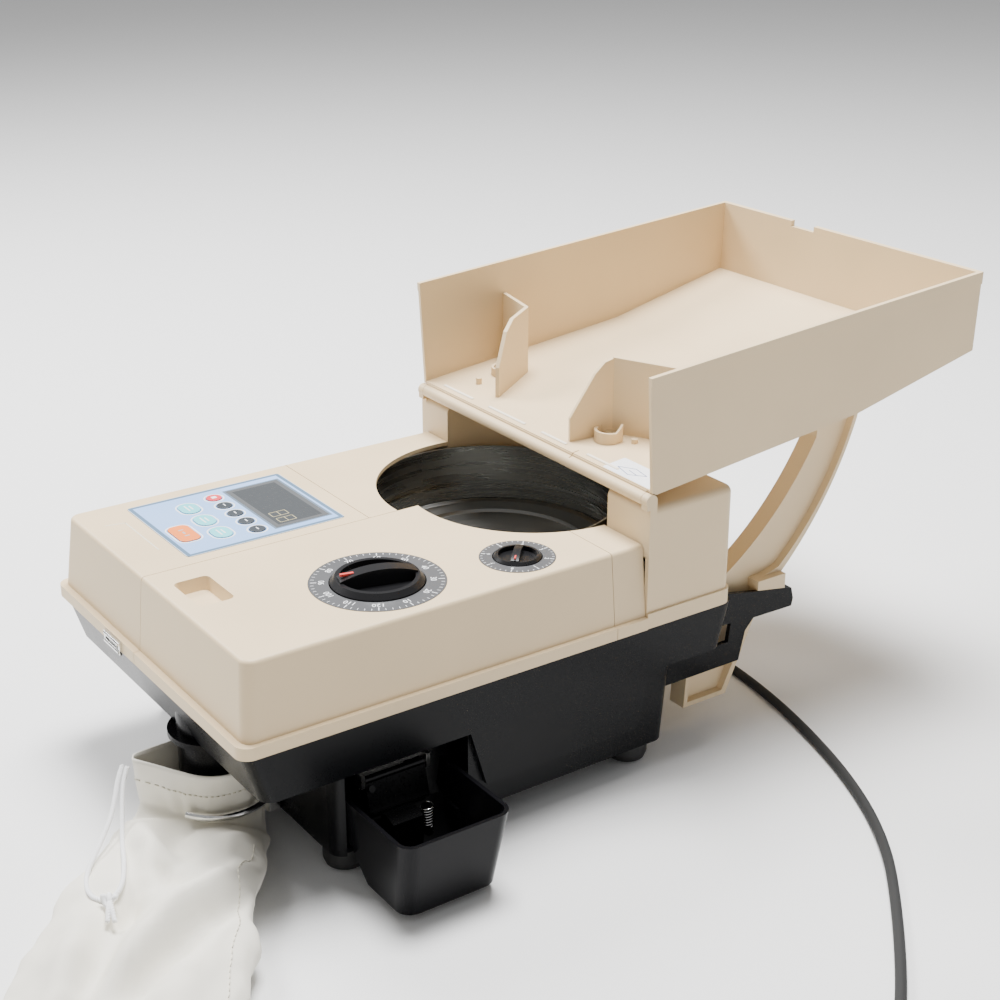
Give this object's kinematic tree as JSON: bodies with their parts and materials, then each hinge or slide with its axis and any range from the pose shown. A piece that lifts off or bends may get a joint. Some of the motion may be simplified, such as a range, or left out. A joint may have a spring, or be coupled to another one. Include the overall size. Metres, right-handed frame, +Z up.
{
  "type": "coin sorting machine",
  "caption": "Bench-top coin sorting machine with a tilting hopper tray, round steel feed bowl, key panel, two setting dials, reject cup and cloth coin bag.",
  "frame": {"origin": "on the bench, midway between the four rubber feet", "axes": "+X to the operator's right, +Y to the back under the tray, +Z up"},
  "size_m": [0.6265, 0.7156, 0.2685],
  "materials": {
    "cream_casing": "fine satin moulded ABS, cream beige",
    "black_casing": "fine textured black moulded plastic",
    "black_gloss": "glossy black moulded plastic",
    "black_plastic": "satin black plastic",
    "zinc_steel": "zinc plated steel",
    "brushed_steel": "spun stainless steel",
    "disc_steel": "turned and worn steel",
    "bright_chrome": "polished chrome plate",
    "cast_aluminium": "cast and machined",
    "motor_paint": "dark enamel",
    "foot_rubber": "black rubber",
    "belt_rubber": "black belt rubber",
    "panel_film": "printed pale lavender-blue film",
    "smoked_window": "smoked acrylic",
    "circuit_board": "green circuit board",
    "key_red": "red key",
    "key_dark": "dark grey key",
    "key_cyan": "pale cyan key",
    "key_orange": "orange key",
    "dial_ring": "dark grey printed scale ring",
    "canvas": "unbleached cotton canvas",
    "white_string": "braided white cord",
    "cord_black": "black flexible PVC"
  },
  "bodies": {
    "machine": {"arm_guides": "black_casing", "bag_clamp": "bright_chrome", "bag_drawstring": "white_string", "base_chassis": "black_casing", "base_plate": "zinc_steel", "coin_bag": "canvas", "coin_spout": "black_plastic", "coin_track": "brushed_steel", "control_panel": "panel_film", "cord_coil": "cord_black", "cord_gland": "cord_black", "dial_plates": "dial_ring", "dial_switches": "black_plastic", "display_window": "smoked_window", "drive_belt": "belt_rubber", "flap_bracket": "zinc_steel", "front_latch": "bright_chrome", "hinge_rod": "zinc_steel", "hopper_bowl": "brushed_steel", "key_board": "circuit_board", "left_cover": "cream_casing", "left_rear_cover": "cream_casing", "main_board": "circuit_board", "mechanism_plate": "cast_aluminium", "motor": "motor_paint", "plug": "cord_black", "power_cord": "cord_black", "power_supply": "zinc_steel", "rear_column": "cream_casing", "reject_chute": "zinc_steel", "right_cover": "cream_casing", "right_rear_strip": "cream_casing", "rubber_feet": "foot_rubber", "string_knot": "white_string", "transport_belt": "belt_rubber"},
    "tray": {"hopper_tray": "cream_casing", "tray_guide_right": "cream_casing", "tray_guide_left": "cream_casing", "tray_screws": "bright_chrome", "tray_arms": "cream_casing"},
    "feed": {"feed_disc": "disc_steel", "disc_shaft": "zinc_steel", "disc_pulley": "cast_aluminium"},
    "motor_rotor": {"motor_pulley": "cast_aluminium"},
    "front_belt_roller": {"front_roller": "zinc_steel"},
    "rear_belt_roller": {"rear_roller": "zinc_steel"},
    "diameter_setting": {"diameter_knob": "black_gloss"},
    "thickness_setting": {"thickness_knob": "black_gloss"},
    "cup": {"reject_cup": "black_gloss", "cup_catch": "black_plastic"},
    "flap": {"reject_flap": "bright_chrome"},
    "batch_button_1_body": {"batch_button_1": "key_dark"},
    "batch_button_2_body": {"batch_button_2": "key_dark"},
    "batch_button_3_body": {"batch_button_3": "key_dark"},
    "batch_button_4_body": {"batch_button_4": "key_dark"},
    "mode_button_1_body": {"mode_button_1": "key_cyan"},
    "mode_button_2_body": {"mode_button_2": "key_cyan"},
    "mode_button_3_body": {"mode_button_3": "key_cyan"},
    "start_button_body": {"start_button": "key_orange"},
    "stop_button_body": {"stop_button": "key_red"}
  },
  "joints": [
    {"name": "hopper_tilt", "type": "hinge", "parent": "machine", "child": "tray", "pos_m": [0, 0.096, 0.1753], "axis": [1, 0, 0], "range_deg": [0, 12]},
    {"name": "disc_spin", "type": "hinge", "parent": "machine", "child": "feed", "pos_m": [-0.007, 0.073, 0.08], "axis": [0, 0, 1], "continuous": true},
    {"name": "motor_spin", "type": "hinge", "parent": "machine", "child": "motor_rotor", "pos_m": [-0.007, -0.022, 0.06], "axis": [0, 0, 1], "continuous": true},
    {"name": "front_roller_spin", "type": "hinge", "parent": "machine", "child": "front_belt_roller", "pos_m": [0.028, -0.112, 0.114], "axis": [1, 0, 0], "continuous": true},
    {"name": "rear_roller_spin", "type": "hinge", "parent": "machine", "child": "rear_belt_roller", "pos_m": [0.028, -0.024, 0.114], "axis": [1, 0, 0], "continuous": true},
    {"name": "diameter_turn", "type": "hinge", "parent": "machine", "child": "diameter_setting", "pos_m": [0.0699, -0.0552, 0.147], "axis": [0, 0, 1], "range_deg": [-135, 135]},
    {"name": "thickness_turn", "type": "hinge", "parent": "machine", "child": "thickness_setting", "pos_m": [0.087, 0.0265, 0.147], "axis": [0, 0, 1], "range_deg": [-120, 120]},
    {"name": "cup_pull", "type": "slide", "parent": "machine", "child": "cup", "axis": [1, 0, 0], "range_m": [0, 0.09]},
    {"name": "flap_swing", "type": "hinge", "parent": "machine", "child": "flap", "pos_m": [0.106, -0.07, 0.05], "axis": [0, -1, 0], "range_deg": [0, 35]},
    {"name": "batch_button_1_press", "type": "slide", "parent": "machine", "child": "batch_button_1_body", "axis": [0, 0, -1], "range_m": [0, 0.0005], "stiffness_N_per_m": 400, "springref_m": -0.0003},
    {"name": "batch_button_2_press", "type": "slide", "parent": "machine", "child": "batch_button_2_body", "axis": [0, 0, -1], "range_m": [0, 0.0005], "stiffness_N_per_m": 400, "springref_m": -0.0003},
    {"name": "batch_button_3_press", "type": "slide", "parent": "machine", "child": "batch_button_3_body", "axis": [0, 0, -1], "range_m": [0, 0.0005], "stiffness_N_per_m": 400, "springref_m": -0.0003},
    {"name": "batch_button_4_press", "type": "slide", "parent": "machine", "child": "batch_button_4_body", "axis": [0, 0, -1], "range_m": [0, 0.0005], "stiffness_N_per_m": 400, "springref_m": -0.0003},
    {"name": "mode_button_1_press", "type": "slide", "parent": "machine", "child": "mode_button_1_body", "axis": [0, 0, -1], "range_m": [0, 0.0005], "stiffness_N_per_m": 400, "springref_m": -0.0003},
    {"name": "mode_button_2_press", "type": "slide", "parent": "machine", "child": "mode_button_2_body", "axis": [0, 0, -1], "range_m": [0, 0.0005], "stiffness_N_per_m": 400, "springref_m": -0.0003},
    {"name": "mode_button_3_press", "type": "slide", "parent": "machine", "child": "mode_button_3_body", "axis": [0, 0, -1], "range_m": [0, 0.0005], "stiffness_N_per_m": 400, "springref_m": -0.0003},
    {"name": "start_button_press", "type": "slide", "parent": "machine", "child": "start_button_body", "axis": [0, 0, -1], "range_m": [0, 0.0005], "stiffness_N_per_m": 400, "springref_m": -0.0003},
    {"name": "stop_button_press", "type": "slide", "parent": "machine", "child": "stop_button_body", "axis": [0, 0, -1], "range_m": [0, 0.0005], "stiffness_N_per_m": 400, "springref_m": -0.0003}
  ],
  "couplings": [
    {"joint": "motor_spin", "follows": "disc_spin", "ratio": 2.6667},
    {"joint": "front_roller_spin", "follows": "disc_spin", "ratio": -4},
    {"joint": "rear_roller_spin", "follows": "disc_spin", "ratio": -4}
  ]
}
